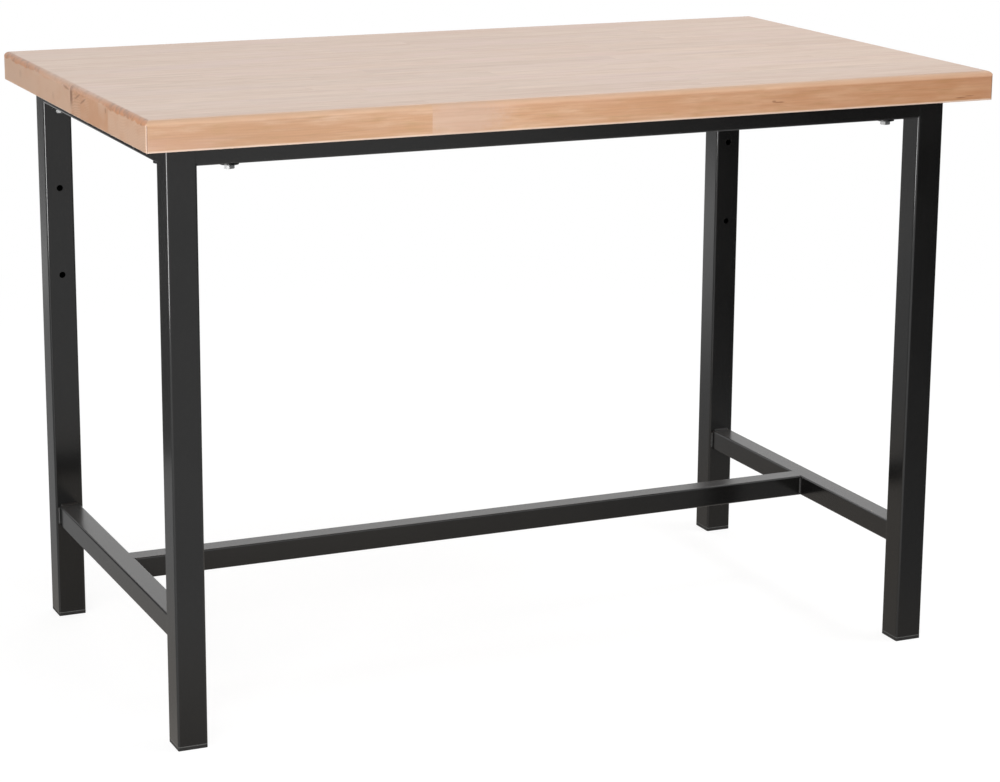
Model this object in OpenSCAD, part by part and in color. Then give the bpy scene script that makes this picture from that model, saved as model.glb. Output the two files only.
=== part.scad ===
// Workbench: a glued beech worktop on a welded frame of square steel tube.
// All sizes are in millimetres. X runs left to right, Y front to back and Z up.
// The origin is on the floor, below the middle of the worktop.

/* [Worktop] */
// Length of the worktop, left to right
top_l = 1200; // [900:10:2000]
// Depth of the worktop, front to back
top_w = 680; // [560:10:900]
// Thickness of the worktop
top_t = 40; // [36:1:60]
// Height of the worktop's upper face above the floor
bench_h = 820; // [700:5:1000]
// Radius of the upper edges
edge_r = 8; // [1:0.5:10]
// Radius of the lower edges
under_edge_r = 2; // [0.5:0.5:4]
// Radius of the upright corners
upright_r = 3; // [1:0.5:8]
// Width of the front stave
front_stave_w = 34; // [25:1:60]
// Width of the back stave
back_stave_w = 58; // [45:1:80]
// Distance from the left end to the butt joint in the front stave
front_joint = 371; // [200:1:800]

/* [Frame position] */
// Worktop beyond the frame on the left
overhang_left = 35; // [5:1:100]
// Worktop beyond the frame on the right
overhang_right = 55; // [5:1:100]
// Worktop beyond the frame at the front
overhang_front = 35; // [10:1:80]
// Worktop beyond the frame at the back
overhang_back = 35; // [10:1:80]

/* [Legs] */
// Width of the square leg tube
leg_size = 40; // [34:1:60]
// Wall of the leg tube
leg_wall = 2; // [1.5:0.5:3]
// Outer corner radius of the leg tube
leg_corner_r = 3; // [2:0.5:4]
// Diameter of the accessory holes in the legs' inner faces
acc_hole_d = 9; // [5:0.5:12]
// Distance from one accessory hole to the next
acc_hole_pitch = 125; // [50:5:200]
// Distance from the worktop's underside down to the upper accessory hole
acc_hole_drop = 147; // [80:1:250]

/* [Top rails] */
// Width of the square rail tube
rail_size = 25; // [20:1:30]
// Wall of the rail tube
rail_wall = 2; // [1.5:0.5:3]
// Outer corner radius of the rail tube
rail_corner_r = 2.5; // [2:0.5:4]

/* [Lower stretchers] */
// Width of the square stretcher tube
stretcher_size = 30; // [20:1:32]
// Wall of the stretcher tube
stretcher_wall = 2; // [1.5:0.5:3]
// Outer corner radius of the stretcher tube
stretcher_corner_r = 2.5; // [2:0.5:4]
// Height of the stretchers' underside above the floor
stretcher_h = 138; // [60:1:300]

/* [Foot caps] */
// Thickness of the cap below the tube
cap_flange = 5; // [3:0.5:10]
// Radius of the cap's lower edges
cap_edge_r = 2; // [0.5:0.5:2.5]
// Radius of the cap's upper edges, which leave a fine line below the tube
cap_upper_r = 0.5; // [0.2:0.1:1]
// Length of the plug inside the tube
cap_plug_h = 22; // [15:1:40]
// Wall of the hollow plug
cap_wall = 2.5; // [1.5:0.5:4]
// Gap between the plug and the tube's wall, which the ribs bridge
cap_rib_depth = 1; // [0.5:0.1:2]
// Thickness of each rib
cap_rib_t = 1.6; // [1:0.1:3]

/* [Worktop fasteners] */
// Thread diameter of the bolts
bolt_d = 8; // [6:1:10]
// Length of the bolts below their heads
bolt_l = 50; // [40:1:55]
// Width of the bolt heads across their flats
head_af = 13; // [10:1:17]
// Height of the bolt heads
head_h = 5.3; // [4:0.1:7]
// Outer diameter of the wide washers
washer_d = 24; // [18:1:25]
// Thickness of the wide washers
washer_t = 2; // [1:0.1:3]
// Outer diameter of the threaded inserts
insert_d = 12; // [11:0.5:14]
// Length of the threaded inserts
insert_l = 20; // [12:1:25]
// Distance from a leg's inner face to the bolts in the front and back rails
bolt_from_leg_long = 45; // [30:1:200]
// Distance from a back leg's inner face to the back bolts in the left and right rails
bolt_from_leg_back = 48; // [30:1:100]
// Gap between a front leg and the washers of the front bolts in the left and right rails
washer_from_leg = 0.5; // [0.2:0.1:40]

/* [Fits] */
// Gap round a bolt in its rail, its washer and its pilot hole
bolt_gap = 0.5; // [0.2:0.1:1]
// Gap between the thread of a bolt and its insert
thread_gap = 0.05; // [0:0.01:0.1]
// Depth of the pilot hole beyond the end of a bolt
pilot_spare = 3; // [1:1:4]
// Leg of the weld beads
weld_leg = 2.5; // [2:0.1:3]
// Gap between a ground weld and the rounded corner that it covers
weld_gap = 0.05; // [0.02:0.01:0.1]

/* [Hidden] */
$fn = 48;
STAVES = 16;
RIBS = 3;
HEX_SIDES = 6;
LEFT = -1;
RIGHT = 1;
FRONT = -1;
BACK = 1;
SIDES = [LEFT, RIGHT];
ENDS = [FRONT, BACK];
beech = [0.82, 0.65, 0.49];
black_steel = [0.16, 0.16, 0.16];
black_plastic = [0.1, 0.1, 0.1];
zinc = [0.75, 0.76, 0.77];
brass = [0.8, 0.68, 0.35];
// Spare length of a cutting shape beyond the face that it cuts
over = 1;
// Smallest corner radius inside a tube
tube_inner_r = 0.5;
// Chamfer of a bolt's head, and the share of its width that the round end face keeps
head_chamfer_angle = 30;
head_face_share = 0.95;
// Length of the cone at a bolt's tip
bolt_tip = 1;
// The first bolt's head stops at this angle, and each next one further round
head_turn = 12;
head_turn_step = 24;

under_z = bench_h - top_t;
frame_left = -top_l / 2 + overhang_left;
frame_right = top_l / 2 - overhang_right;
frame_front = -top_w / 2 + overhang_front;
frame_back = top_w / 2 - overhang_back;
rail_z = under_z - rail_size;
stretcher_top = stretcher_h + stretcher_size;
inner_stave_w = (top_w - front_stave_w - back_stave_w) / (STAVES - 2);
leg_inside = leg_size - 2 * leg_wall;
bolt_reach = bolt_l - washer_t - rail_size;
pilot_depth = max(bolt_reach, insert_l) + pilot_spare;
stretcher_flat = stretcher_size - 2 * stretcher_corner_r;
rail_flat = rail_size - 2 * rail_corner_r;
stretcher_mid_y = (frame_front + frame_back) / 2;

// Outer faces of the frame, middles of the legs, and the legs' inner faces
function outer_x(side) = side == LEFT ? frame_left : frame_right;
function outer_y(end) = end == FRONT ? frame_front : frame_back;
function leg_x(side) = outer_x(side) - side * leg_size / 2;
function leg_y(end) = outer_y(end) - end * leg_size / 2;
function inner_x(side) = outer_x(side) - side * leg_size;
function inner_y(end) = outer_y(end) - end * leg_size;

// Inner face of an end stretcher
function stretcher_face_x(side) = leg_x(side) - side * stretcher_size / 2;

// Front edge of a stave, counted from 1 at the front; the last stave ends where one more would start
function stave_y(i) =
    i == 1 ? -top_w / 2 :
    i == STAVES + 1 ? top_w / 2 :
    -top_w / 2 + front_stave_w + (i - 2) * inner_stave_w;

// The left and right rails have their front bolts close to the legs, and their back bolts further in
function end_bolt_y(end) =
    end == FRONT ? inner_y(FRONT) + washer_from_leg + washer_d / 2 : inner_y(BACK) - bolt_from_leg_back;

// Places of the bolts that hold the worktop: two in each rail
long_rail_bolts = [
    for (side = SIDES, end = ENDS)
    [inner_x(side) - side * bolt_from_leg_long, outer_y(end) - end * rail_size / 2]
];
end_rail_bolts = [
    for (side = SIDES, end = ENDS)
    [outer_x(side) - side * rail_size / 2, end_bolt_y(end)]
];
bolt_places = concat(long_rail_bolts, end_rail_bolts);

function stave_name(i) = str("stave_", i < 10 ? "0" : "", i);
function corner_name(side, end) = str(end == FRONT ? "front_" : "back_", side == LEFT ? "left" : "right");
function leg_name(side, end) = str("leg_", corner_name(side, end));
function cap_name(side, end) = str("foot_cap_", corner_name(side, end));

// A rectangle with round corners, centred on the origin
module rounded_rect(w, h, r) {
    square([w - 2 * r, h], center = true);
    square([w, h - 2 * r], center = true);
    for (x = SIDES, y = ENDS)
        translate([x * (w / 2 - r), y * (h / 2 - r)])
            circle(r = r);
}

// A slab's outline, standing on the origin, with its own radii above and below
module slab_outline(w, t, upper_r, lower_r) {
    translate([-w / 2 + upper_r, 0])
        square([w - 2 * upper_r, t]);
    translate([-w / 2 + lower_r, 0])
        square([w - 2 * lower_r, t - upper_r]);
    translate([-w / 2, lower_r])
        square([w, t - upper_r - lower_r]);
    for (x = SIDES) {
        translate([x * (w / 2 - upper_r), t - upper_r])
            circle(r = upper_r);
        translate([x * (w / 2 - lower_r), lower_r])
            circle(r = lower_r);
    }
}

// A slab standing on the origin whose edges are rounded above, below and at the upright corners
module eased_slab(l, w, t, upper_r, lower_r, corner_r) {
    intersection() {
        linear_extrude(height = t)
            rounded_rect(l, w, corner_r);
        rotate([90, 0, 0])
            linear_extrude(height = w + 2 * over, center = true)
                slab_outline(l, t, upper_r, lower_r);
        rotate([90, 0, 90])
            linear_extrude(height = l + 2 * over, center = true)
                slab_outline(w, t, upper_r, lower_r);
    }
}

// A square tube that stands on the origin
module tube(length, size, wall, r) {
    linear_extrude(height = length)
        difference() {
            rounded_rect(size, size, r);
            rounded_rect(size - 2 * wall, size - 2 * wall, max(r - wall, tube_inner_r));
        }
}

module tube_along_x(length, size, wall, r) {
    rotate([0, 90, 0])
        tube(length, size, wall, r);
}

module tube_along_y(length, size, wall, r) {
    rotate([-90, 0, 0])
        tube(length, size, wall, r);
}

// Mirrors its children in X and in Y where a sign is negative
module flip(x, y) {
    mirror([x < 0 ? 1 : 0, 0, 0])
        mirror([0, y < 0 ? 1 : 0, 0])
            children();
}

module at_bolts(z) {
    for (place = bolt_places)
        translate([place[0], place[1], z])
            children();
}

// A stave, or the length of it between two places along X
module stave(i, from_x = -top_l / 2 - over, to_x = top_l / 2 + over) {
    first_spare = i == 1 ? over : 0;
    last_spare = i == STAVES ? over : 0;
    color(beech)
        difference() {
            intersection() {
                translate([0, 0, under_z])
                    eased_slab(top_l, top_w, top_t, edge_r, under_edge_r, upright_r);
                translate([from_x, stave_y(i) - first_spare, under_z - over])
                    cube([
                        to_x - from_x,
                        stave_y(i + 1) - stave_y(i) + first_spare + last_spare,
                        top_t + 2 * over
                    ]);
            }
            at_bolts(under_z - over) {
                cylinder(d = insert_d, h = insert_l + over);
                cylinder(d = bolt_d + 2 * bolt_gap, h = pilot_depth + over);
            }
        }
}

module leg(side, end) {
    color(black_steel)
        difference() {
            translate([leg_x(side), leg_y(end), cap_flange])
                tube(under_z - cap_flange, leg_size, leg_wall, leg_corner_r);
            for (drop = [acc_hole_drop, acc_hole_drop + acc_hole_pitch])
                translate([leg_x(side), leg_y(end), under_z - drop])
                    rotate([end * 90, 0, 0])
                        cylinder(d = acc_hole_d, h = leg_size / 2 + over);
        }
}

module foot_cap(side, end) {
    plug_size = leg_inside - 2 * cap_rib_depth;
    rib_pitch = cap_plug_h / (RIBS + 0.5);
    color(black_plastic)
        translate([leg_x(side), leg_y(end), 0]) {
            eased_slab(leg_size, leg_size, cap_flange, cap_upper_r, cap_edge_r, leg_corner_r);
            translate([0, 0, cap_flange])
                tube(cap_plug_h, plug_size, cap_wall, leg_corner_r);
            for (i = [1:RIBS])
                translate([0, 0, cap_flange + i * rib_pitch - cap_rib_t])
                    tube(cap_rib_t, leg_inside, cap_rib_depth + cap_wall, leg_corner_r);
        }
}

module rail_bolt_holes() {
    at_bolts(rail_z - over)
        cylinder(d = bolt_d + 2 * bolt_gap, h = rail_size + 2 * over);
}

// A front or back rail between two legs, flush with their outer faces
module long_rail(end) {
    color(black_steel)
        difference() {
            translate([inner_x(LEFT), outer_y(end) - end * rail_size / 2, rail_z + rail_size / 2])
                tube_along_x(inner_x(RIGHT) - inner_x(LEFT), rail_size, rail_wall, rail_corner_r);
            rail_bolt_holes();
        }
}

// A left or right rail between two legs, flush with their outer faces
module end_rail(side) {
    color(black_steel)
        difference() {
            translate([outer_x(side) - side * rail_size / 2, inner_y(FRONT), rail_z + rail_size / 2])
                tube_along_y(inner_y(BACK) - inner_y(FRONT), rail_size, rail_wall, rail_corner_r);
            rail_bolt_holes();
        }
}

// A lower stretcher between a front and a back leg, centred on them
module end_stretcher(side) {
    color(black_steel)
        translate([leg_x(side), inner_y(FRONT), stretcher_h + stretcher_size / 2])
            tube_along_y(inner_y(BACK) - inner_y(FRONT), stretcher_size, stretcher_wall, stretcher_corner_r);
}

module centre_stretcher() {
    color(black_steel)
        translate([stretcher_face_x(LEFT), stretcher_mid_y, stretcher_h + stretcher_size / 2])
            tube_along_x(
                stretcher_face_x(RIGHT) - stretcher_face_x(LEFT),
                stretcher_size, stretcher_wall, stretcher_corner_r
            );
}

// A bolt whose head hangs below the origin
module hex_bolt() {
    corner_r = head_af / 2 / cos(180 / HEX_SIDES);
    face_r = head_af / 2 * head_face_share;
    chamfer_h = (corner_r - face_r) * tan(head_chamfer_angle);
    intersection() {
        translate([0, 0, -head_h])
            cylinder(r = corner_r, h = head_h, $fn = HEX_SIDES);
        rotate_extrude()
            polygon([
                [0, -head_h],
                [face_r, -head_h],
                [corner_r, -head_h + chamfer_h],
                [corner_r, 0],
                [0, 0]
            ]);
    }
    rotate_extrude()
        polygon([
            [0, 0],
            [bolt_d / 2, 0],
            [bolt_d / 2, bolt_l - bolt_tip],
            [bolt_d / 2 - bolt_tip, bolt_l],
            [0, bolt_l]
        ]);
}

module worktop_bolts() {
    color(zinc)
        for (i = [0:len(bolt_places) - 1])
            translate([bolt_places[i][0], bolt_places[i][1], rail_z - washer_t])
                rotate([0, 0, head_turn + i * head_turn_step])
                    hex_bolt();
}

module bolt_washers() {
    color(black_steel)
        at_bolts(rail_z - washer_t)
            difference() {
                cylinder(d = washer_d, h = washer_t);
                translate([0, 0, -over])
                    cylinder(d = bolt_d + 2 * bolt_gap, h = washer_t + 2 * over);
            }
}

module threaded_inserts() {
    color(brass)
        at_bolts(under_z)
            difference() {
                cylinder(d = insert_d, h = insert_l);
                translate([0, 0, -over])
                    cylinder(d = bolt_d + 2 * thread_gap, h = insert_l + 2 * over);
            }
}

// A slightly convex weld bead in the corner between the planes X = 0 and Y = 0
module bead(length) {
    bead_r = sqrt(pow(2 * weld_leg, 2) + pow(weld_leg, 2));
    linear_extrude(height = length)
        intersection() {
            square([weld_leg, weld_leg]);
            translate([-weld_leg, -weld_leg])
                circle(r = bead_r);
        }
}

// Ground weld metal that squares up a tube's rounded corner of radius r
module groove_fill(length, r) {
    linear_extrude(height = length)
        difference() {
            square([r, r]);
            translate([r, r])
                circle(r = r + weld_gap);
        }
}

// Welds ground flush with the outer faces, where the rails meet the legs' rounded corners
module rail_flush_welds() {
    color(black_steel)
        for (side = SIDES, end = ENDS) {
            translate([inner_x(side), outer_y(end), rail_z + rail_corner_r])
                flip(side, -end)
                    groove_fill(rail_flat, leg_corner_r);
            translate([outer_x(side), inner_y(end), rail_z + rail_corner_r])
                flip(-side, end)
                    groove_fill(rail_flat, leg_corner_r);
        }
}

// Upright beads on the inner side of the rails, against the legs' inner faces
module rail_inner_welds() {
    color(black_steel)
        for (side = SIDES, end = ENDS) {
            translate([inner_x(side), outer_y(end) - end * rail_size, rail_z + rail_corner_r])
                flip(-side, -end)
                    bead(rail_flat);
            translate([outer_x(side) - side * rail_size, inner_y(end), rail_z + rail_corner_r])
                flip(-side, -end)
                    bead(rail_flat);
        }
}

// Beads on all four sides of each end stretcher, against the legs
module end_stretcher_welds() {
    color(black_steel)
        for (side = SIDES, end = ENDS) {
            for (face = SIDES)
                translate([
                    leg_x(side) + face * stretcher_size / 2,
                    inner_y(end),
                    stretcher_h + stretcher_corner_r
                ])
                    flip(face, -end)
                        bead(stretcher_flat);
            for (up = [0, 1])
                translate([leg_x(side), inner_y(end), up == 1 ? stretcher_top : stretcher_h])
                    mirror([0, 0, 1 - up])
                        flip(1, -end)
                            translate([-stretcher_flat / 2, 0, 0])
                                rotate([90, 0, 90])
                                    bead(stretcher_flat);
        }
}

// Upright beads beside the centre stretcher's ends
module centre_stretcher_welds() {
    color(black_steel)
        for (side = SIDES, face = ENDS)
            translate([
                stretcher_face_x(side),
                stretcher_mid_y + face * stretcher_size / 2,
                stretcher_h + stretcher_corner_r
            ])
                flip(-side, face)
                    bead(stretcher_flat);
}

// Welds ground level with the stretchers, above and below the centre stretcher's ends
module centre_stretcher_flush_welds() {
    color(black_steel)
        for (side = SIDES, up = [0, 1])
            translate([stretcher_face_x(side), stretcher_mid_y, up == 1 ? stretcher_top : stretcher_h])
                mirror([0, 0, up])
                    flip(side, 1)
                        translate([0, stretcher_flat / 2, 0])
                            rotate([90, 0, 0])
                                groove_fill(stretcher_flat, stretcher_corner_r);
}

stave(1, to_x = -top_l / 2 + front_joint);  // stave_01_left
stave(1, from_x = -top_l / 2 + front_joint);  // stave_01_right
for (i = [2:STAVES])
    stave(i);
for (end = ENDS, side = SIDES) {
    leg(side, end);
    foot_cap(side, end);
}
long_rail(FRONT);  // front_rail
long_rail(BACK);  // back_rail
end_rail(LEFT);  // left_rail
end_rail(RIGHT);  // right_rail
end_stretcher(LEFT);  // left_stretcher
end_stretcher(RIGHT);  // right_stretcher
centre_stretcher();
worktop_bolts();
bolt_washers();
threaded_inserts();
rail_flush_welds();
rail_inner_welds();
end_stretcher_welds();
centre_stretcher_welds();
centre_stretcher_flush_welds();
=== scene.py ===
import math
import random

import bmesh
import bpy
from mathutils import Matrix, Vector


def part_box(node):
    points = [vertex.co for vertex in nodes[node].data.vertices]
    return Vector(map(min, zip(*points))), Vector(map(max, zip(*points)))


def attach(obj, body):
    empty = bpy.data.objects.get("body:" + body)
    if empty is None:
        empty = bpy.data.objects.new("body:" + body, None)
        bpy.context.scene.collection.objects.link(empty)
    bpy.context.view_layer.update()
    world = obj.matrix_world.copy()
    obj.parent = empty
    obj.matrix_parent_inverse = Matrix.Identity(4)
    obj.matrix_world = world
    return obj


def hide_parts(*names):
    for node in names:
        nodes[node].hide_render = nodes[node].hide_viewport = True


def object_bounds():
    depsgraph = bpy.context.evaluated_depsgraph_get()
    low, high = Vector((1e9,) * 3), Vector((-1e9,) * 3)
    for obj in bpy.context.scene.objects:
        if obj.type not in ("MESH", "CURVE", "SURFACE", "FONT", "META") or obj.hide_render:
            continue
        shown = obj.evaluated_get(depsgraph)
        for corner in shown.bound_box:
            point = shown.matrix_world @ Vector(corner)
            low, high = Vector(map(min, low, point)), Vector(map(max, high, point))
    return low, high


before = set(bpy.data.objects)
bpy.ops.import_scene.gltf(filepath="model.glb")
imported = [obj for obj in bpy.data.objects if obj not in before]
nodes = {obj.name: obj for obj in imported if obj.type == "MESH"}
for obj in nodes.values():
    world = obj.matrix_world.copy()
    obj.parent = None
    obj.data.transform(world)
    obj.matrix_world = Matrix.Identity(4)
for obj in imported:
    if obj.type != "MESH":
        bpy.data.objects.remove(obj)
cad_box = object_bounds()

# All lengths are in metres, in the row's frame: X to the right, Y to the back, Z up
MM = 0.001
X_AXIS = Vector((1, 0, 0))
Y_AXIS = Vector((0, 1, 0))
Z_AXIS = Vector((0, 0, 1))

# The worktop reaches past the frame below it on every side, so its X and Y are those of the whole bench
TOP_LO = Vector((cad_box[0][0], cad_box[0][1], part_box("stave_01_left")[0].z))
TOP_HI = Vector(cad_box[1])

# Where each leg's tube ends and its cap begins
SEAM_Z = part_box("leg_front_left")[0].z

# Camera, found by matching some 40 edges of the bench in the photograph
IMAGE_W = 1000
IMAGE_H = 782
CAMERA_AT = Vector((-1.5494, -3.4971, 1.3363))
CAMERA_YAW = math.radians(-24.136)
CAMERA_PITCH = math.radians(-13.566)
CAMERA_ROLL = math.radians(0.412)
FOCAL_PX = 2769.2
PRINCIPAL_ROW = 346
SENSOR_W = 36.0

# Beech along the grain: its two main tones, its dark lines, and patches of other tones
PALE = (0.66, 0.44, 0.30)
WARM = (0.55, 0.31, 0.175)
DEEP = (0.34, 0.17, 0.085)
TAN = (0.47, 0.28, 0.13)
PINK = (0.64, 0.40, 0.32)
GREY_PINK = (0.53, 0.385, 0.315)
KNOT = (0.19, 0.07, 0.025)

# What the front's right end multiplies the wood's colour by: partly the wood's amber tone, partly painted
# shade
AMBER_AND_SHADE_TINT = (0.765, 0.63, 0.506)

# Beech where its end grain shows, plain and warm. Both are made paler and greyer by a painted sheen. Then the
# rims: the end's upper rim, darker partly as painted shade, its scorch, and a painted highlight on the lower
# rims
END_GRAIN_WITH_SHEEN = (0.50, 0.32, 0.217)
END_WARM_WITH_SHEEN = (0.44, 0.22, 0.112)
ARRIS_AND_SHADE = (0.44, 0.17, 0.05)
BURN = (0.2, 0.085, 0.035)
# A painted highlight along the worktop's lower rims
LOWER_HIGHLIGHT_TINT = (0.80, 0.66, 0.56)

# Paint, metals and plastic
PAINT = (0.0042, 0.0041, 0.004)
# The paint's paler corners are a painted highlight
PAINT_EDGE_HIGHLIGHT = (0.02, 0.02, 0.02)
SEAM = (0.1, 0.1, 0.097)
# Dust on faces that look up, made paler than dust alone as painted light
DUST_AND_TOP_LIGHT = (0.1, 0.097, 0.095)
ZINC = (0.24, 0.244, 0.248)
NEAR_BLACK_WASHER = (0.022, 0.022, 0.023)
BRASS = (0.55, 0.42, 0.19)
RUBBED_METAL = (0.66, 0.65, 0.63)
CAP_PLASTIC = (0.010, 0.010, 0.010)
SCUFF = (0.035, 0.034, 0.033)

# How far light bends in lacquer and paint, and in the caps' plastic
LACQUER_IOR = 1.5
PLASTIC_IOR = 1.48

# The wood's roughness along the grain, and what fibre and end grain add to it
WOOD_ROUGHNESS = 0.33
FIBRE_ROUGHNESS = 0.12
END_ROUGHNESS = 0.12

# The thin lacquer on the wood: how much of it shows, and how rough it is
LACQUER = 0.4
LACQUER_ROUGHNESS = 0.3

# Depths of the fine relief: the wood's pores, the paint's orange peel, the caps' texture and scratches
PORE_DEPTH = 0.05 * MM
PEEL_DEPTH = 0.02 * MM
SPARK_DEPTH = 0.02 * MM
SCRATCH_DEPTH = 0.01 * MM


class Shader:
    """One material, whose nodes are added a few at a time."""

    def __init__(self, name):
        self.material = bpy.data.materials.new(name)
        self.material.use_nodes = True
        self.nodes = self.material.node_tree.nodes
        self.links = self.material.node_tree.links
        self.surface = self.nodes["Principled BSDF"]

    def feed(self, socket, value):
        """Links an output to a socket, or writes a plain value on it."""
        if isinstance(value, bpy.types.NodeSocket):
            self.links.new(value, socket)
        elif socket.type == "RGBA":
            socket.default_value = (*value, 1.0)
        else:
            socket.default_value = value

    def add(self, kind, inputs=None, **settings):
        """Adds a node, with its settings and what its inputs get."""
        node = self.nodes.new("ShaderNode" + kind)
        for name, value in settings.items():
            setattr(node, name, value)
        for key, value in (inputs or {}).items():
            self.feed(node.inputs[key], value)
        return node

    def math(self, operation, *values):
        return self.add("Math", dict(enumerate(values)), operation=operation).outputs[0]

    def plus(self, first, second):
        return self.math("ADD", first, second)

    def minus(self, first, second):
        return self.math("SUBTRACT", first, second)

    def times(self, first, second):
        return self.math("MULTIPLY", first, second)

    def swing(self, value, width):
        """Turns a value from 0 to 1 into one from -width / 2 to width / 2."""
        return self.times(self.minus(value, 0.5), width)

    def reach(self, first, second):
        """The length of a flat vector."""
        squares = self.plus(self.times(first, first), self.times(second, second))
        return self.math("POWER", squares, 0.5)

    def smooth(self, value, start, end):
        """0 at start, 1 at end, with a soft step between them. The end may be the lower of the two."""
        inputs = {"Value": value, "From Min": start, "From Max": end}
        return self.add("MapRange", inputs, interpolation_type="SMOOTHSTEP").outputs["Result"]

    def mix(self, factor, first, second, blend="MIX"):
        """The first colour where the factor is 0, and the second one mixed over it by the factor."""
        node = self.add("Mix", {"Factor": factor}, data_type="RGBA", blend_type=blend)
        colours = [socket for socket in node.inputs if socket.type == "RGBA"]
        self.feed(colours[0], first)
        self.feed(colours[1], second)
        return next(socket for socket in node.outputs if socket.type == "RGBA")

    def darken(self, colour, amount, depth):
        """Scales a colour by 1 - depth where amount is 1."""
        grey = self.minus(1.0, self.times(amount, depth))
        return self.mix(1.0, colour, self.join(grey, grey, grey), blend="MULTIPLY")

    def place(self):
        """The surface's point in the row's frame."""
        return self.add("TexCoord").outputs["Object"]

    def normal(self):
        """The X, Y and Z parts of the direction that the surface faces."""
        return self.split(self.add("NewGeometry").outputs["Normal"])

    def split(self, vector):
        return self.add("SeparateXYZ", {"Vector": vector}).outputs

    def join(self, x, y, z):
        return self.add("CombineXYZ", {"X": x, "Y": y, "Z": z}).outputs["Vector"]

    def stretch(self, vector, scale):
        return self.add("VectorMath", {0: vector, 1: scale}, operation="MULTIPLY").outputs["Vector"]

    def noise(self, vector, scale=1.0, detail=2.0, roughness=0.5):
        """Cloudy noise from 0 to 1, whose scale is in clouds per metre."""
        inputs = {"Vector": vector, "Scale": scale, "Detail": detail, "Roughness": roughness}
        return self.add("TexNoise", inputs).outputs["Fac"]

    def grain(self, vector, along, across, detail=3.0, roughness=0.5):
        """Noise drawn out along X, with its scales along and across the grain."""
        return self.noise(self.stretch(vector, (along, across, across)), detail=detail, roughness=roughness)

    def steps(self, value, places, greys):
        """A grey that changes at once at each place from 0 to 1."""
        ramp = self.add("ValToRGB", {"Fac": value})
        ramp.color_ramp.interpolation = "CONSTANT"
        stops = ramp.color_ramp.elements
        stops.remove(stops[1])
        stops[0].position = 0.0
        stops[0].color = (greys[0],) * 3 + (1.0,)
        for at, grey in zip(places, greys[1:]):
            stops.new(at).color = (grey,) * 3 + (1.0,)
        return ramp.outputs["Color"]

    def bump(self, height, distance, strength):
        inputs = {"Height": height, "Distance": distance, "Strength": strength}
        return self.add("Bump", inputs).outputs["Normal"]

    def finish(self, **values):
        """Sets the surface's sockets: an underscore in a name stands for a space."""
        for name, value in values.items():
            self.feed(self.surface.inputs[name.replace("_", " ")], value)
        return self.material

    def show(self, shader):
        """Puts another shader in place of the surface."""
        self.links.new(shader, self.nodes["Material Output"].inputs["Surface"])


def facing(shader):
    """How far the surface faces along X, Y and Z, each from 0 to 1."""
    return [shader.math("ABSOLUTE", part) for part in shader.normal()]


def rounding(shader):
    """1 on a rounded edge or corner, and 0 on a flat face that lies square to an axis."""
    x, y, z = facing(shader)
    products = [shader.times(*pair) for pair in ((x, y), (y, z), (x, z))]
    total = shader.plus(products[0], shader.plus(products[1], products[2]))
    return shader.smooth(total, 0.05, 0.4)


# Beech

# Lengths that a stave is glued up from: the first, the later ones, and the least for the last
FIRST_LENGTH = (0.15, 0.6)
LATER_LENGTH = (0.32, 0.75)
LAST_LENGTH = 0.12

# How far apart along the tree the pieces in one stave can come from
PIECE_SHIFT = 9.0

# The pith lies this far beside the stave's middle at most and this far above or below it, and wanders
PITH_ASIDE = 0.03
PITH_AWAY = (0.035, 0.09)
PITH_WANDER = 0.045
RING_WIDTH_MM = (2.6, 3.8)

# When in a ring's year, from 0 to 1, its wood gets darker, and when that ends
LATE_STEP = (0.35, 0.92)
WINTER_STEP = (1.0, 0.93)

# Clouds of noise per metre, along the grain and across it
WANDER_GRAIN = (1.6, 7.0)
BROAD_GRAIN = (3.2, 75.0)
FIGURE_GRAIN = (15.0, 120.0)
SPOT_GRAIN = (24.0, 150.0)
BLUSH_GRAIN = (5.0, 14.0)
FIBRE_GRAIN = (11.0, 620.0)
FLECK_GRAIN = (260.0, 1700.0)

# How far broad streaks, fine figure and a length's tone swing the wood between its two main colours
BROAD_SWING = 1.3
FIGURE_SWING = 1.7
TONE_SWING = 0.12

# How strongly spots, blush, late wood and flecks show their own colours, and what fibre and tone darken by
SPOT_SHARE = 0.6
BLUSH_SHARE = 0.45
LATE_SHARE = 0.1
FLECK_SHARE = 0.2
FIBRE_SHADE = 0.1
TONE_SHADE = 0.07

# End grain: its clouds per metre and how far they swing its tone, how strongly its rays show, and their
# clouds per radian round the pith and per metre from it
END_CLOUDS = (30.0, 30.0, 55.0)
END_SWING = 1.8
RAY_SHARE = 0.3
RAYS_ROUND = 130.0
RAYS_OUTWARD = 60.0

# Half widths of the glue lines, the share of them that is darkest, and how much that darkens the wood
SIDE_GLUE = 0.35 * MM
BUTT_GLUE = 0.3 * MM
GLUE_CORE = 0.3
GLUE_SHADE = (0.12, 0.3)

# How far the rims reach from the worktop's upper and lower faces, where they begin to fade, and how
# ragged the one of the end is. The rims of the long sides are painted highlights. The end's rim is sanded end
# grain and partly painted shade.
UPPER_RIM = 8.5 * MM
END_RIM_FADE = 6.0 * MM
SIDE_RIM_FADE = 5.0 * MM
LOWER_RIM_REACH = 3.2 * MM
LOWER_RIM_FADE = 1.6 * MM
RIM_RAGGED = 14.0 * MM

# How strongly the painted highlights on the long sides' rims show, how dark the painted shade on the upright
# corners is, and the scorch on the end's
UPPER_HIGHLIGHT_SHARE = 0.45
LOWER_HIGHLIGHT_SHARE = 0.55
PAINTED_CORNER_SHADE = 0.45
BURN_SHARE = 0.65
RAGGED_CLOUDS = 38.0
BURN_CLOUDS = 62.0

# How strong the end's upper rim is in the middle, what it gains towards the corners, and where along Y
END_RIM_SHARE = 0.35
END_RIM_GAIN = 0.6
END_RIM_STEP = (0.09, 0.22)

# How much a surface turns to a side on a rounded edge, from where it starts to where it counts in full
TURNING = (0.12, 0.4)

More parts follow.
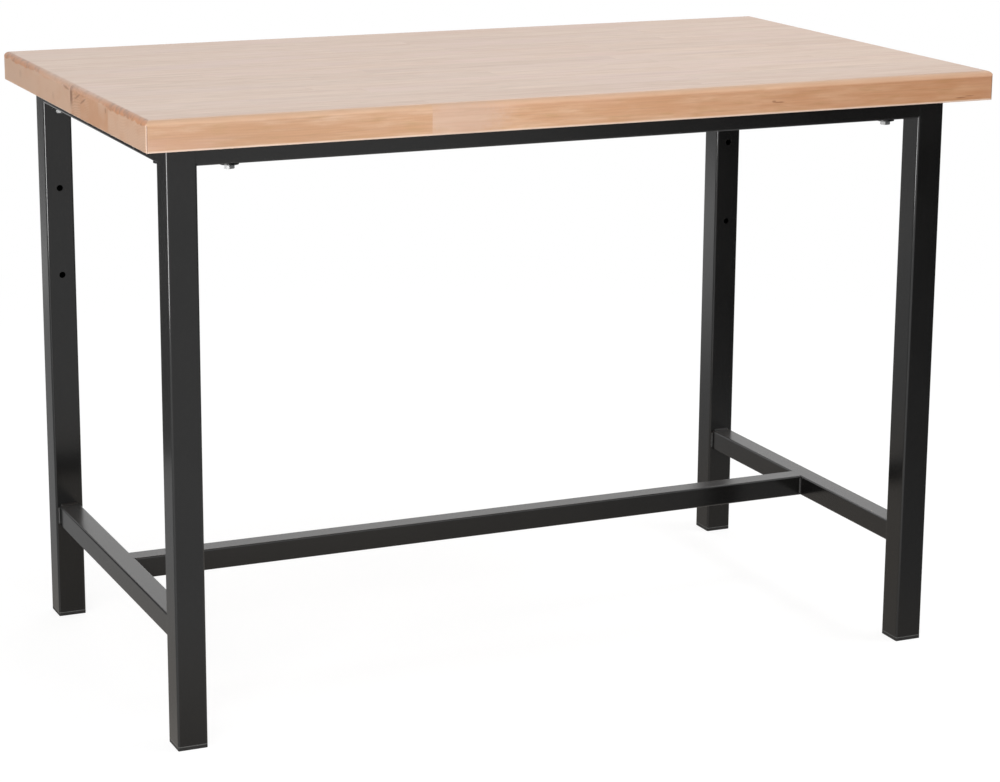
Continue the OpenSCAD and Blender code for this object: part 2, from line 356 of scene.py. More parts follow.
# Places along the front: from where to where it turns to amber, partly as painted shade, and to its left,
# darkened by painted shade
AMBER_AND_SHADE_STEP = (-0.3, 0.66)
PAINTED_LEFT_SHADE_STEP = (-0.1, -0.5)

# How far a mark reaches into the wood, and the noise that frays its edge
MARK_REACH = 10.0 * MM
MARK_FRAY = 0.5
FRAY_CLOUDS = 220.0

# Shares of the wood's fine relief: fibre and late wood stand out, and glue lines lie low
FIBRE_RELIEF = 0.7
LATE_RELIEF = 0.3
GLUE_RELIEF = 0.6


def butt_joints(name, rng):
    """Places along X where one length of a stave ends and the next begins.

    The front stave has none: its two lengths are nodes of their own.
    """
    if name.startswith("stave_01"):
        return []
    places = []
    at = TOP_LO.x + rng.uniform(*FIRST_LENGTH)
    while at < TOP_HI.x - LAST_LENGTH:
        places.append(at)
        at += rng.uniform(*LATER_LENGTH)
    return places


def stave_lengths(shader, x, joints, rng):
    """Two greys that change at the butt joints: each length's tone, and its own piece of the tree."""
    span = TOP_HI.x - TOP_LO.x
    along = shader.math("DIVIDE", shader.minus(x, TOP_LO.x), span)
    stops = [(at - TOP_LO.x) / span for at in joints]
    rows = [[rng.uniform(0.0, 1.0) for _ in range(len(joints) + 1)] for _ in range(2)]
    return [shader.steps(along, stops, greys) for greys in rows]


def growth_rings(shader, in_tree, lo, hi, rng):
    """Rings round a pith that lies outside the stave and wanders along it.

    Returns the dark late wood, the angle round the pith and the distance from it.
    """
    _, y, z = shader.split(in_tree)
    side = rng.choice((-1, 1))
    pith_y = (lo.y + hi.y) / 2 + rng.uniform(-PITH_ASIDE, PITH_ASIDE)
    pith_z = (lo.z + hi.z) / 2 + side * rng.uniform(*PITH_AWAY)
    wander = shader.swing(shader.grain(in_tree, *WANDER_GRAIN), PITH_WANDER)
    from_y = shader.plus(shader.minus(y, pith_y), wander)
    from_z = shader.plus(shader.minus(z, pith_z), wander)
    radius = shader.reach(from_y, from_z)
    season = shader.math("FRACT", shader.math("DIVIDE", radius, rng.uniform(*RING_WIDTH_MM) * MM))
    late = shader.times(shader.smooth(season, *LATE_STEP), shader.smooth(season, *WINTER_STEP))
    return late, shader.math("ARCTAN2", from_z, from_y), radius


def main_tones(shader, in_tree, warmth, tone):
    """The tones that run along the grain, with tan spots and a pink blush."""
    figure = shader.grain(in_tree, *FIGURE_GRAIN, roughness=0.6)
    blend = shader.plus(shader.swing(shader.grain(in_tree, *BROAD_GRAIN), BROAD_SWING), warmth)
    blend = shader.plus(blend, shader.swing(figure, FIGURE_SWING))
    blend = shader.plus(blend, shader.swing(tone, TONE_SWING))
    spots = shader.smooth(shader.grain(in_tree, *SPOT_GRAIN, detail=2.0), 0.5, 0.78)
    blush = shader.smooth(shader.grain(in_tree, *BLUSH_GRAIN, detail=2.0), 0.45, 0.7)
    colour = shader.mix(shader.smooth(blend, 0.0, 1.0), PALE, WARM)
    colour = shader.mix(shader.times(spots, SPOT_SHARE), colour, TAN)
    return shader.mix(shader.times(blush, BLUSH_SHARE), colour, PINK)


def fine_lines(shader, colour, in_tree, late, fibre, tone):
    """Late wood, the short flecks of the rays and fine fibre, over the main tones."""
    fleck = shader.smooth(shader.grain(in_tree, *FLECK_GRAIN, detail=1.0), 0.60, 0.74)
    colour = shader.mix(shader.times(late, LATE_SHARE), colour, DEEP)
    colour = shader.mix(shader.times(fleck, FLECK_SHARE), colour, DEEP)
    colour = shader.darken(colour, shader.smooth(fibre, 0.45, 0.75), FIBRE_SHADE)
    return shader.darken(colour, tone, TONE_SHADE)


def rim_highlights_and_corner_shade(shader, colour, z, faces_x, faces_y):
    """Painted highlights make the rounded rims of the long sides paler, and painted shade makes the upright
    corners darker.
    """
    upper = shader.times(shader.smooth(faces_y, *TURNING),
                         shader.smooth(z, TOP_HI.z - UPPER_RIM, TOP_HI.z - SIDE_RIM_FADE))
    lower = shader.smooth(z, TOP_LO.z + LOWER_RIM_REACH, TOP_LO.z + LOWER_RIM_FADE)
    corner = shader.smooth(shader.times(faces_x, faces_y), 0.1, 0.4)
    # Painted highlights on the upper and lower rims, and painted shade on the upright corners
    colour = shader.mix(shader.times(upper, UPPER_HIGHLIGHT_SHARE), colour, PALE)
    colour = shader.mix(shader.times(lower, LOWER_HIGHLIGHT_SHARE), colour, LOWER_HIGHLIGHT_TINT)
    return shader.darken(colour, corner, PAINTED_CORNER_SHADE)


def end_tones(shader, place, warmth, rings, ring_depth):
    """End grain with the rings and rays of the stave's own pith, in colours made paler by a painted sheen."""
    late, angle, radius = rings
    cloud = shader.noise(shader.stretch(place, END_CLOUDS), detail=3.0)
    spread = shader.join(shader.times(angle, RAYS_ROUND), shader.times(radius, RAYS_OUTWARD), 0.0)
    rays = shader.smooth(shader.noise(spread), 0.35, 0.75)
    toned = shader.plus(warmth, shader.swing(cloud, END_SWING))
    colour = shader.mix(shader.smooth(toned, 0.0, 1.0), END_GRAIN_WITH_SHEEN, END_WARM_WITH_SHEEN)
    colour = shader.mix(shader.times(rays, RAY_SHARE), colour, PALE)
    return shader.mix(shader.times(late, ring_depth), colour, DEEP)


def end_rim(shader, colour, place, faces_x):
    """The rounded upper edge of an end is sanded end grain, darker and more orange partly as painted shade,
    darkest and scorched towards the corners.
    """
    _, y, z = shader.split(place)
    uneven = shader.noise(place, scale=RAGGED_CLOUDS, detail=3.0)
    ragged_z = shader.plus(z, shader.swing(uneven, RIM_RAGGED))
    rim = shader.times(shader.smooth(faces_x, *TURNING),
                       shader.smooth(ragged_z, TOP_HI.z - UPPER_RIM, TOP_HI.z - END_RIM_FADE))
    to_corner = shader.smooth(shader.math("ABSOLUTE", y), *END_RIM_STEP)
    rim = shader.times(rim, shader.plus(END_RIM_SHARE, shader.times(to_corner, END_RIM_GAIN)))
    burnt = shader.smooth(shader.noise(place, scale=BURN_CLOUDS, detail=3.0, roughness=0.6), 0.47, 0.62)
    # Partly the sanded end grain's colour, and partly painted shade where the rounding turns up
    colour = shader.mix(rim, colour, ARRIS_AND_SHADE)
    return shader.mix(shader.times(burnt, shader.times(rim, BURN_SHARE)), colour, BURN)


def spot(shader, place, at, half, lean):
    """1 in the middle of a frayed oval with given half sizes, and 0 outside it. It may lean up along Y."""
    moved = shader.add("VectorMath", {0: place, 1: at}, operation="SUBTRACT").outputs["Vector"]
    if lean:
        x, y, z = shader.split(moved)
        moved = shader.join(x, y, shader.minus(z, shader.times(y, lean)))
    scaled = shader.add("VectorMath", {0: moved, 1: half}, operation="DIVIDE").outputs["Vector"]
    reach = shader.add("VectorMath", {0: scaled}, operation="LENGTH").outputs["Value"]
    fray = shader.times(shader.noise(place, scale=FRAY_CLOUDS), MARK_FRAY)
    return shader.smooth(shader.plus(reach, fray), 1.25, 0.6)


def glue_lines(shader, x, y, lo, hi, joints):
    """1 on the glue along the stave's sides and at its butt joints, and 0 elsewhere."""
    line = 0.0
    sides = [edge for edge in (lo.y, hi.y) if TOP_LO.y + MM < edge < TOP_HI.y - MM]
    for axis, places, half in ((y, sides, SIDE_GLUE), (x, joints, BUTT_GLUE)):
        for at in places:
            gap = shader.math("ABSOLUTE", shader.minus(axis, at))
            line = shader.math("MAXIMUM", line, shader.smooth(gap, half, half * GLUE_CORE))
    return line


def beech(name, seed, warmth, end_warmth=0.15, ring_depth=0.25, amber=False, painted_left_shade=0.0, marks=()):
    """Solid beech for one stave, whose rings, rays and end grain belong together.

    The warmths go from 0 to 1, for the stave's sides and its ends, and ring_depth is how dark the rings are
    on the ends. Where the amber flag is set, the upright side turns to amber and darker towards the right:
    partly the wood's tone and partly painted shade. The upright side also gets darker towards the left by a
    painted shade of the depth given for the left.
    """
    rng = random.Random(seed)
    shader = Shader("beech_" + name)
    lo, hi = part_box(name)
    joints = butt_joints(name, rng)
    place = shader.place()
    x, y, z = shader.split(place)
    faces_x, faces_y, faces_z = facing(shader)
    upright = shader.smooth(faces_z, 0.95, 0.5)

    # in_tree is the surface's point in the tree, where each length of the stave has a place of its own
    tone, piece = stave_lengths(shader, x, joints, rng)
    in_tree = shader.join(shader.plus(x, shader.times(piece, PIECE_SHIFT)), y, z)
    rings = growth_rings(shader, in_tree, lo, hi, rng)
    late = rings[0]
    fibre = shader.grain(in_tree, *FIBRE_GRAIN, roughness=0.6)

    colour = main_tones(shader, in_tree, warmth, tone)
    # Amber towards the right on upright faces: partly the wood's tone, partly painted shade
    if amber:
        turned = shader.times(shader.smooth(x, *AMBER_AND_SHADE_STEP), upright)
        colour = shader.mix(turned, colour, AMBER_AND_SHADE_TINT, blend="MULTIPLY")
    colour = fine_lines(shader, colour, in_tree, late, fibre, tone)
    # Painted shade: upright faces get darker towards the left
    if painted_left_shade:
        shade = shader.times(shader.smooth(x, *PAINTED_LEFT_SHADE_STEP), upright)
        colour = shader.darken(colour, shade, painted_left_shade)
    colour = rim_highlights_and_corner_shade(shader, colour, z, faces_x, faces_y)

    end = shader.smooth(faces_x, 0.55, 0.95)
    colour = shader.mix(end, colour, end_tones(shader, place, end_warmth, rings, ring_depth))
    colour = end_rim(shader, colour, place, faces_x)
    for tint, at, half, lean, strength in marks:
        share = shader.times(spot(shader, place, at, half, lean), strength)
        colour = shader.mix(share, colour, tint)
    line = glue_lines(shader, x, y, lo, hi, joints)
    colour = shader.darken(colour, line, rng.uniform(*GLUE_SHADE))

    pores = shader.plus(shader.times(fibre, FIBRE_RELIEF), shader.times(late, LATE_RELIEF))
    relief = shader.minus(pores, shader.times(line, GLUE_RELIEF))
    rough = shader.plus(WOOD_ROUGHNESS, shader.times(fibre, FIBRE_ROUGHNESS))
    rough = shader.plus(rough, shader.times(end, END_ROUGHNESS))
    return shader.finish(Base_Color=colour, Roughness=rough, IOR=LACQUER_IOR, Coat_Weight=LACQUER,
                         Coat_Roughness=LACQUER_ROUGHNESS, Normal=shader.bump(relief, PORE_DEPTH, 0.35))


# Paint, metals and plastic

# The paint's clouds of tone, its swell and its orange peel, in clouds per metre, and how far the swell
# stands out beside the peel
PAINT_CLOUDS = 7.0
SWELL_CLOUDS = 26.0
PEEL_CLOUDS = 620.0
SWELL_RELIEF = 2.0

# How much paler the paint's palest clouds are, and how strongly its corners' painted highlight, its seams,
# and its dust with painted light on upward faces show
PALE_PAINT = 1.35
EDGE_HIGHLIGHT_SHARE = 0.8
SEAM_SHARE = 0.8
DUST_AND_TOP_LIGHT_SHARE = 0.5

# What clouds and dust add to the paint's roughness, and what its corners take off
CLOUD_ROUGHNESS = 0.08
DUST_ROUGHNESS = 0.08
CORNER_POLISH = 0.1

# Blotches and scratches of the metals, in clouds per metre, how dark blotches are and how rough
BLOTCH_CLOUDS = 240.0
SCRATCH_CLOUDS = (300.0, 2600.0, 900.0)
DULL_METAL = 0.72
BLOTCH_ROUGHNESS = 0.14

# The caps' texture and scuffs, in clouds per metre, the heights between which scuffs fade, and the caps'
# roughness with what scuffs add to it
SPARK_CLOUDS = 1500.0
SCUFF_CLOUDS = 180.0
SCUFF_TOP = 2.5 * MM
SCUFF_FULL = 0.2 * MM
CAP_ROUGHNESS = 0.38
SCUFF_ROUGHNESS = 0.2


def powder_coat(name, edge, roughness):
    """Semi-gloss black powder coat with its fine orange peel, shinier on the corners, where a second, paler
    colour is a painted highlight.

    It has a light line round the foot of a leg, where the cap meets the tube. Faces that look up are a little
    dusty and dull, and paler than dust alone would make them, as painted light.
    """
    shader = Shader(name)
    place = shader.place()
    _, _, z = shader.split(place)
    _, _, upward = shader.normal()
    cloud = shader.noise(place, scale=PAINT_CLOUDS, detail=3.0)
    corner = rounding(shader)
    seam = shader.smooth(z, SEAM_Z + 1.0 * MM, SEAM_Z + 0.5 * MM)
    dust_and_top_light = shader.smooth(upward, 0.9, 0.98)

    colour = shader.mix(shader.smooth(cloud, 0.3, 0.7), PAINT, tuple(PALE_PAINT * part for part in PAINT))
    # Painted highlight on the rounded corners
    colour = shader.mix(shader.times(corner, EDGE_HIGHLIGHT_SHARE), colour, edge)
    colour = shader.mix(shader.times(seam, SEAM_SHARE), colour, SEAM)
    # Dust on faces that look up, with painted light
    colour = shader.mix(shader.times(dust_and_top_light, DUST_AND_TOP_LIGHT_SHARE), colour, DUST_AND_TOP_LIGHT)

    rough = shader.plus(roughness, shader.times(cloud, CLOUD_ROUGHNESS))
    rough = shader.minus(rough, shader.times(corner, CORNER_POLISH))
    rough = shader.plus(rough, shader.times(dust_and_top_light, DUST_ROUGHNESS))

    peel = shader.noise(place, scale=PEEL_CLOUDS)
    swell = shader.noise(place, scale=SWELL_CLOUDS)
    height = shader.plus(peel, shader.times(swell, SWELL_RELIEF))
    return shader.finish(Base_Color=colour, Roughness=rough, IOR=LACQUER_IOR,
                         Normal=shader.bump(height, PEEL_DEPTH, 0.35))


def metal(name, colour, roughness, wear):
    """Plated or near-black steel, or brass, with faint blotches, rubbed edges and fine scratches."""
    shader = Shader(name)
    place = shader.place()
    blotch = shader.noise(place, scale=BLOTCH_CLOUDS, detail=3.0)
    scratch = shader.noise(shader.stretch(place, SCRATCH_CLOUDS))
    dull = tuple(DULL_METAL * part for part in colour)
    tint = shader.mix(shader.smooth(blotch, 0.35, 0.7), colour, dull)
    tint = shader.mix(shader.times(rounding(shader), wear), tint, RUBBED_METAL)
    rough = shader.plus(roughness, shader.times(blotch, BLOTCH_ROUGHNESS))
    return shader.finish(Base_Color=tint, Metallic=1.0, Roughness=rough,
                         Normal=shader.bump(scratch, SCRATCH_DEPTH, 0.4))


def cap_plastic():
    """Moulded black plastic with a fine spark-eroded texture, scuffed at the floor and light at the seam."""
    shader = Shader("cap_plastic")
    place = shader.place()
    _, _, z = shader.split(place)
    grain = shader.noise(place, scale=SPARK_CLOUDS)
    scuff = shader.noise(place, scale=SCUFF_CLOUDS, detail=4.0)
    low = shader.smooth(z, SCUFF_TOP, SCUFF_FULL)
    seam = shader.smooth(z, SEAM_Z - 0.6 * MM, SEAM_Z - 0.2 * MM)
    colour = shader.mix(shader.times(low, shader.smooth(scuff, 0.45, 0.7)), CAP_PLASTIC, SCUFF)
    colour = shader.mix(shader.times(seam, SEAM_SHARE), colour, SEAM)
    rough = shader.plus(CAP_ROUGHNESS, shader.times(scuff, SCUFF_ROUGHNESS))
    return shader.finish(Base_Color=colour, Roughness=rough, IOR=PLASTIC_IOR,
                         Normal=shader.bump(grain, SPARK_DEPTH, 0.5))


def dress(names, material):
    """Puts a material on every slot of some CAD nodes."""
    for name in names:
        slots = nodes[name].data.materials
        for index in range(len(slots)):
            slots[index] = material


# Weld beads

TUBE_CORNER_R = 2.5 * MM
WELD_SIZE = 2.5 * MM
RIPPLE = 2.3 * MM
RINGS_PER_RIPPLE = 6
ARC_STEPS = 8

# Both ends of a bead start at this share of its size, and reach it in full a twentieth of the way along
TAPER_START = 0.55
TAPER_RATE = 9.0

# Shares of the bead's size by which its middle stands out, and by which a ripple adds to that
CROWN = 0.10
RIPPLE_CROWN = 0.09

# How far a ripple lags behind in the bead's middle, as a share of its length
RIPPLE_LAG = 0.35

# What a bulge square to the bead's slope adds along each of the two faces
SLANT = 0.7


def bead_ring(mesh, corner, along, from_leg, from_tube, length, share):
    """One cross-section of a bead, at a share of its length."""
    ring = [mesh.verts.new(corner + along * (length * share))]
    taper = min(1.0, TAPER_START + TAPER_RATE * min(share, 1 - share))
    wave = 0.5 + 0.5 * math.cos(2 * math.pi * length * share / RIPPLE)
    size = WELD_SIZE * taper
    for j in range(ARC_STEPS + 1):
        t = j / ARC_STEPS
        crown = math.sin(math.pi * t)
        bulge = WELD_SIZE * (CROWN + RIPPLE_CROWN * wave) * crown
        lag = -RIPPLE_LAG * RIPPLE * crown * (1 if 0 < share < 1 else 0)
        point = corner + along * (length * share + lag)
        point = point + from_leg * (size * (1 - t) + bulge * taper * SLANT)
        point = point + from_tube * (size * t + bulge * taper * SLANT)
        ring.append(mesh.verts.new(point))
    return ring


def add_bead(mesh, corner, along, from_leg, from_tube, length):
    """A fillet weld along a corner line, with the curved ripples that the torch leaves."""
    steps = max(2, round(length / RIPPLE * RINGS_PER_RIPPLE))
    rings = [bead_ring(mesh, corner, along, from_leg, from_tube, length, i / steps) for i in range(steps + 1)]
    for first, second in zip(rings, rings[1:]):
        count = len(first)
        for j in range(count):
            k = (j + 1) % count
            mesh.faces.new((first[j], first[k], second[k], second[j]))
    mesh.faces.new(rings[0][::-1])
    mesh.faces.new(rings[-1])


def weld_piece(name, node, beads, material):
    """A piece of rippled beads in place of the CAD node's plain ones."""
    mesh = bmesh.new()
    for bead in beads:
        add_bead(mesh, *bead)
    bmesh.ops.recalc_face_normals(mesh, faces=mesh.faces)
    data = bpy.data.meshes.new(name)
    mesh.to_mesh(data)
    mesh.free()
    data.polygons.foreach_set("use_smooth", [len(face.vertices) == 4 for face in data.polygons])
    data.materials.append(material)
    piece = bpy.data.objects.new(name, data)
    bpy.context.scene.collection.objects.link(piece)
    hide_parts(node)
    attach(piece, "root")


def upright_bead(lo, x, y, from_leg, from_tube, flat):
    """A bead up the flat stretch of a tube's side, which starts above the tube's rounded corner."""
    return Vector((x, y, lo.z + TUBE_CORNER_R)), Z_AXIS, from_leg, from_tube, flat


def stretcher_leg_beads():
    """Beads on the four sides of each end stretcher, against its two legs."""
    beads = []
    for name in ("left_stretcher", "right_stretcher"):
        lo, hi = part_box(name)
        flat = hi.z - lo.z - 2 * TUBE_CORNER_R
        for y, from_leg in ((lo.y, Y_AXIS), (hi.y, -Y_AXIS)):
            for x, out in ((lo.x, -X_AXIS), (hi.x, X_AXIS)):
                beads.append(upright_bead(lo, x, y, from_leg, out, flat))
            for z, out in ((lo.z, -Z_AXIS), (hi.z, Z_AXIS)):
                beads.append((Vector((lo.x + TUBE_CORNER_R, y, z)), X_AXIS, from_leg, out, flat))
    return beads


def centre_stretcher_beads():
    """Upright beads on both sides of the centre stretcher's ends."""
    lo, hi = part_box("centre_stretcher")
    flat = hi.z - lo.z - 2 * TUBE_CORNER_R
    return [
        upright_bead(lo, x, y, inward, out, flat)
        for x, inward in ((lo.x, X_AXIS), (hi.x, -X_AXIS))
        for y, out in ((lo.y, -Y_AXIS), (hi.y, Y_AXIS))
    ]


def rail_leg_beads():
    """Upright beads on the inner side of each top rail, against the legs."""
    beads = []
    for name, inside in (("front_rail", Y_AXIS), ("back_rail", -Y_AXIS)):
        lo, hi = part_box(name)
        y = hi.y if inside.y > 0 else lo.y
        flat = hi.z - lo.z - 2 * TUBE_CORNER_R
        for x, from_leg in ((lo.x, X_AXIS), (hi.x, -X_AXIS)):
            beads.append(upright_bead(lo, x, y, from_leg, inside, flat))
    for name, inside in (("left_rail", X_AXIS), ("right_rail", -X_AXIS)):
        lo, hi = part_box(name)
        x = hi.x if inside.x > 0 else lo.x
        flat = hi.z - lo.z - 2 * TUBE_CORNER_R
        for y, from_leg in ((lo.y, Y_AXIS), (hi.y, -Y_AXIS)):
            beads.append(upright_bead(lo, x, y, from_leg, inside, flat))
    return beads


# Surroundings

# Half the floor's side, how far below the feet it lies, so that the two don't flicker, and its colour
FLOOR_HALF = 14.0
FLOOR_GAP = 0.2 * MM
FLOOR_COLOUR = (0.82, 0.82, 0.82)

# The shadow shows in full this near to the bench's middle, and not at all this far from it
SHADOW_NEAR = 1.0
SHADOW_FAR = 2.6

# Near the bench this share of the floor is lit by the lamps, and so shows the shadow. The rest is its own
# white, lowered by what the lamps add in the open, which is OPEN_FLOOR times the share.
SHADOW_SHARE = 0.25
OPEN_FLOOR = 0.6

# Light that the surroundings give, where 1 is white
WORLD_LIGHT = 0.3

# How bright a reflection shows the floor: pale at the front left, black at the front right, grey beside
# the bench and white again behind its middle
FLOOR_WHITE = 0.74
FLOOR_GREY = 0.42
FLOOR_BEHIND = 0.75

# Places where those tones begin and reach their full strength: the pale front along X, which leans left
# towards the back, the grey along Y, and the white behind along X + Y and from both sides along X
FRONT_STEP = (1.3, -0.5)
FRONT_LEAN = 0.38
BACK_STEP = (-0.75, -0.05)
BEHIND_STEP = (1.1, 1.9)
BEHIND_RIGHT_STEP = (1.2, 0.3)
BEHIND_LEFT_STEP = (-1.3, -1.0)

# The floor's reflection is warmer close to the bench
NEAR_TINT = (1.0, 0.93, 0.85)
NEAR_STEP = (1.0, 0.45)

WHITE = (1.0, 1.0, 1.0)

# A dark card that stands at the back left, where only reflections show it: its corners are X and Z
CARD_Y = 1.0
CARD_OUTLINE = ((-1.6, 0.0), (-0.88, 0.0), (-0.745, 0.68), (-1.6, 0.56))
CARD_GREY = 0.1

# Lamps: place, aim, width and height in metres, and power in watts
LAMPS = {
    "key": ((-3.0, -4.5, 2.5), (-0.1, -0.2, 0.5), (2.4, 2.0), 98),
    "front": ((-0.3, -5.2, 0.9), (-0.1, -0.2, 0.5), (2.4, 1.4), 88),
    "left": ((-2.75, -1.2, 0.4), (-0.565, -0.305, 0.55), (1.1, 0.75), 40),
    "above": ((2.3, -0.9, 4.0), (0.0, 0.0, 0.8), (1.6, 1.2), 48),
    "back": ((0.9, 2.6, 3.2), (0.1, 0.0, 0.6), (3.0, 1.6), 28),
}

# Reflections show only these lamps, so that no view of the top shows the glare of the others
MIRRORED_LAMPS = ("left", "back")


def glow(shader, colour, strength):
    return shader.add("Emission", {"Color": colour, "Strength": strength}).outputs[0]


def matt(shader, colour):
    return shader.add("BsdfDiffuse", {"Color": colour}).outputs[0]


def either(shader, factor, first, second):
    """The first shader where the factor is 0, and the second where it is 1."""
    return shader.add("MixShader", {"Fac": factor, 1: first, 2: second}).outputs[0]


def floor_mirror(shader, x, y, distance):
    """The floor as a reflection shows it."""
    to_right = shader.plus(x, shader.times(y, FRONT_LEAN))
    front = shader.times(shader.smooth(to_right, *FRONT_STEP), FLOOR_WHITE)
    middle = shader.times(shader.smooth(x, *BEHIND_RIGHT_STEP), shader.smooth(x, *BEHIND_LEFT_STEP))
    behind = shader.times(shader.smooth(shader.plus(x, y), *BEHIND_STEP), middle)
    back = shader.plus(FLOOR_GREY, shader.times(behind, FLOOR_BEHIND))
    to_back = shader.smooth(y, *BACK_STEP)
    strength = shader.plus(shader.times(front, shader.minus(1.0, to_back)), shader.times(back, to_back))
    return glow(shader, shader.mix(shader.smooth(distance, *NEAR_STEP), WHITE, NEAR_TINT), strength)


def floor_seen(shader, distance):
    """The floor as the camera sees it: white, with a soft shadow near the bench."""
    share = shader.times(shader.smooth(distance, SHADOW_FAR, SHADOW_NEAR), SHADOW_SHARE)
    shaded = matt(shader, shader.join(share, share, share))
    rest = shader.minus(1.0, shader.times(share, OPEN_FLOOR))
    return shader.add("AddShader", {0: glow(shader, WHITE, rest), 1: shaded}).outputs[0]


def floor_material():
    """White to the camera, toned to reflections, plain to other light, and clear from below."""
    shader = Shader("floor_white")
    path = shader.add("LightPath").outputs
    x, y, _ = shader.split(shader.place())
    distance = shader.reach(x, y)
    seen = shader.math("MAXIMUM", path["Is Camera Ray"], path["Is Transmission Ray"])
    unseen = either(shader, path["Is Glossy Ray"], matt(shader, FLOOR_COLOUR),
                    floor_mirror(shader, x, y, distance))
    above = either(shader, seen, unseen, floor_seen(shader, distance))
    from_below = shader.add("NewGeometry").outputs["Backfacing"]
    clear = shader.add("BsdfTransparent").outputs[0]
    shader.show(either(shader, from_below, above, clear))
    return shader.material


def make_floor():
    """A wide flat floor, which isn't part of the bench."""
    mesh = bmesh.new()
    bmesh.ops.create_grid(mesh, x_segments=4, y_segments=4, size=FLOOR_HALF)
    data = bpy.data.meshes.new("floor")
    mesh.to_mesh(data)
    mesh.free()
    data.materials.append(floor_material())
    floor = bpy.data.objects.new("floor", data)
    floor.location.z = -FLOOR_GAP
    bpy.context.scene.collection.objects.link(floor)


def make_card():
    """The dark card at the back left, which darkens the left sides of the legs as a reflection."""
    shader = Shader("card_grey")
    shader.show(glow(shader, WHITE, CARD_GREY))
    data = bpy.data.meshes.new("card")
    data.from_pydata([(x, CARD_Y, z) for x, z in CARD_OUTLINE], [], [(0, 1, 2, 3)])
    data.materials.append(shader.material)
    card = bpy.data.objects.new("card", data)
    card.visible_camera = False
    card.visible_diffuse = False
    card.visible_transmission = False
    card.visible_shadow = False
    bpy.context.scene.collection.objects.link(card)


def make_world():
    """White where it is seen, and a plain soft grey where it only gives light."""
    world = bpy.data.worlds.new("studio")
    bpy.context.scene.world = world
    world.use_nodes = True
    tree = world.node_tree
    path = tree.nodes.new("ShaderNodeLightPath")
    background = tree.nodes["Background"]
    background.inputs["Color"].default_value = (*WHITE, 1.0)
    background.inputs["Strength"].default_value = WORLD_LIGHT
    shown = background.outputs[0]
    for ray in ("Is Glossy Ray", "Is Transmission Ray", "Is Camera Ray"):
        white = tree.nodes.new("ShaderNodeBackground")
        white.inputs["Color"].default_value = (*WHITE, 1.0)
        white.inputs["Strength"].default_value = 1.0
        mix = tree.nodes.new("ShaderNodeMixShader")
        tree.links.new(path.outputs[ray], mix.inputs["Fac"])
        tree.links.new(shown, mix.inputs[1])
        tree.links.new(white.outputs[0], mix.inputs[2])
        shown = mix.outputs[0]
    tree.links.new(shown, tree.nodes["World Output"].inputs["Surface"])


def area_light(name, at, target, size, watts):
    """A flat lamp that is aimed at a target and that the camera doesn't see."""
    data = bpy.data.lights.new(name, "AREA")
    data.shape = "RECTANGLE"
    data.size, data.size_y = size
    data.energy = watts
    lamp = bpy.data.objects.new(name, data)
    lamp.location = at
    lamp.rotation_euler = (Vector(target) - Vector(at)).to_track_quat("-Z", "Y").to_euler()
    lamp.visible_camera = False
    lamp.visible_glossy = name in MIRRORED_LAMPS
    bpy.context.scene.collection.objects.link(lamp)


def make_camera():
    """The photograph's camera, whose optical axis lies on PRINCIPAL_ROW."""
    cos_p, sin_p = math.cos(CAMERA_PITCH), math.sin(CAMERA_PITCH)
    cos_y, sin_y = math.cos(CAMERA_YAW), math.sin(CAMERA_YAW)
    forward = Vector((-sin_y * cos_p, cos_y * cos_p, sin_p))
    level = Vector((cos_y, sin_y, 0))
    upward = level.cross(forward)
    right = level * math.cos(CAMERA_ROLL) + upward * math.sin(CAMERA_ROLL)
    up = upward * math.cos(CAMERA_ROLL) - level * math.sin(CAMERA_ROLL)
    data = bpy.data.cameras.new("camera")
    data.sensor_width = SENSOR_W
    data.lens = FOCAL_PX * SENSOR_W / IMAGE_W
    data.shift_y = (PRINCIPAL_ROW - IMAGE_H / 2) / IMAGE_W
    camera = bpy.data.objects.new("camera", data)
    turn = Matrix((right, up, -forward)).transposed()
    camera.matrix_world = Matrix.Translation(CAMERA_AT) @ turn.to_4x4()
    bpy.context.scene.collection.objects.link(camera)
    bpy.context.scene.camera = camera


# Marks in the wood: their places and half sizes are in millimetres, and strength goes from 0 to 1

def on_front(tint, x, below, half_x, half_z, strength):
    """A mark on the worktop's front, so far below its upper face."""
    at = (x * MM, TOP_LO.y, TOP_HI.z - below * MM)
    return tint, at, (half_x * MM, MARK_REACH, half_z * MM), 0.0, strength


def on_end(y, below, half_y, half_z, strength, lean=0.0):
    """A knot or a dark streak on the worktop's left end, so far below its upper face. It may lean along Y."""
    at = (TOP_LO.x, y * MM, TOP_HI.z - below * MM)
    return KNOT, at, (MARK_REACH, half_y * MM, half_z * MM), lean, strength


def on_top(tint, x, y, half_x, half_y, strength):
    """A streak on the worktop's upper face."""
    return tint, (x * MM, y * MM, TOP_HI.z), (half_x * MM, half_y * MM, MARK_REACH), 0.0, strength


